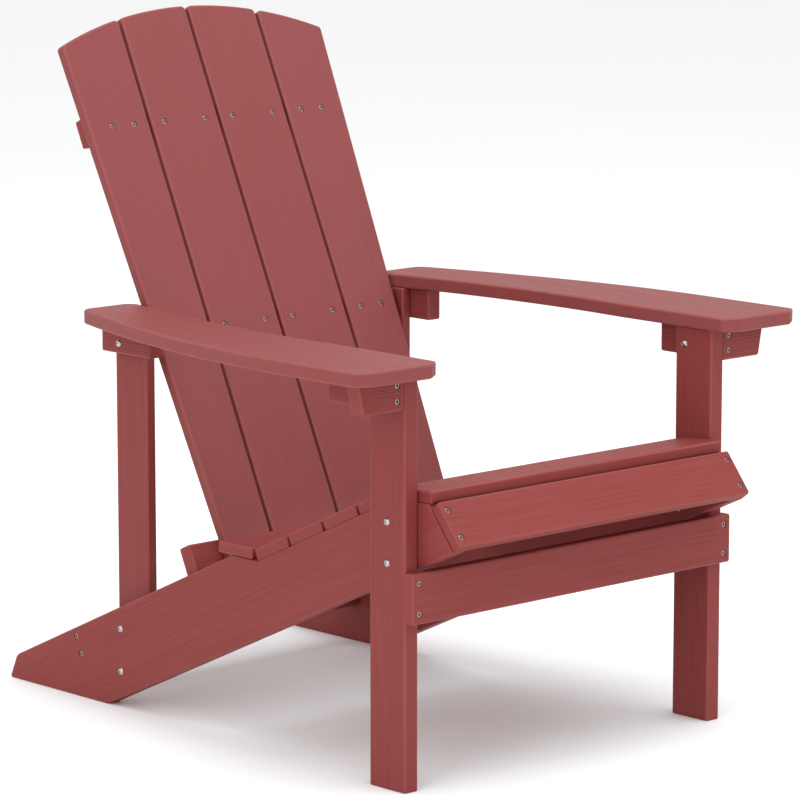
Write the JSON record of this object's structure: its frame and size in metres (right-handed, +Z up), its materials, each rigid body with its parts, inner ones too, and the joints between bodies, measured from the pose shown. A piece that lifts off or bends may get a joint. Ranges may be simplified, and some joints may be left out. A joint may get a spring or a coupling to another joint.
{
  "type": "adirondack chair",
  "caption": "Low garden chair with a raked slatted back, a slatted seat falling to the rear, broad bent armrests and sloping side rails that run down into the rear feet.",
  "frame": {"origin": "centre of the chair's bounding box in plan, at floor level", "axes": "+Z up; the chair faces -Y, so its back leans towards +Y; +X is the sitter's left"},
  "size_m": [0.752, 0.8646, 0.8828],
  "materials": {
    "red_lumber": "matte, embossed with a fine wood grain along each board",
    "stainless_steel": "satin"
  },
  "bodies": {
    "root": {"left_front_leg": "red_lumber", "right_front_leg": "red_lumber", "left_side_rail": "red_lumber", "right_side_rail": "red_lumber", "left_rear_post": "red_lumber", "right_rear_post": "red_lumber", "apron": "red_lumber", "seat_front_board": "red_lumber", "rear_stretcher": "red_lumber", "seat_slat_front": "red_lumber", "seat_slat_2": "red_lumber", "seat_slat_3": "red_lumber", "seat_slat_4": "red_lumber", "seat_slat_5": "red_lumber", "seat_slat_rear": "red_lumber", "back_slat_1": "red_lumber", "back_slat_2": "red_lumber", "back_slat_3": "red_lumber", "back_slat_4": "red_lumber", "upper_back_rail": "red_lumber", "middle_back_rail": "red_lumber", "lower_back_rail": "red_lumber", "left_armrest": "red_lumber", "right_armrest": "red_lumber", "left_front_cleat": "red_lumber", "right_front_cleat": "red_lumber", "left_rear_cleat": "red_lumber", "right_rear_cleat": "red_lumber", "left_arm_bracket": "red_lumber", "right_arm_bracket": "red_lumber", "back_screws_upper": "stainless_steel", "back_screws_middle": "stainless_steel", "back_screws_lower": "stainless_steel", "seat_screws": "stainless_steel", "pocket_screws": "stainless_steel", "front_board_screws": "stainless_steel", "apron_screws": "stainless_steel", "bracket_screws": "stainless_steel", "stretcher_screws": "stainless_steel", "lower_rail_screws": "stainless_steel", "armrest_screws": "stainless_steel", "leg_bolts": "stainless_steel", "leg_nuts": "stainless_steel", "post_bolts": "stainless_steel", "post_nuts": "stainless_steel", "front_cleat_bolts": "stainless_steel", "front_cleat_nuts": "stainless_steel", "rear_cleat_bolts": "stainless_steel", "barrel_nuts": "stainless_steel"}
  },
  "joints": []
}
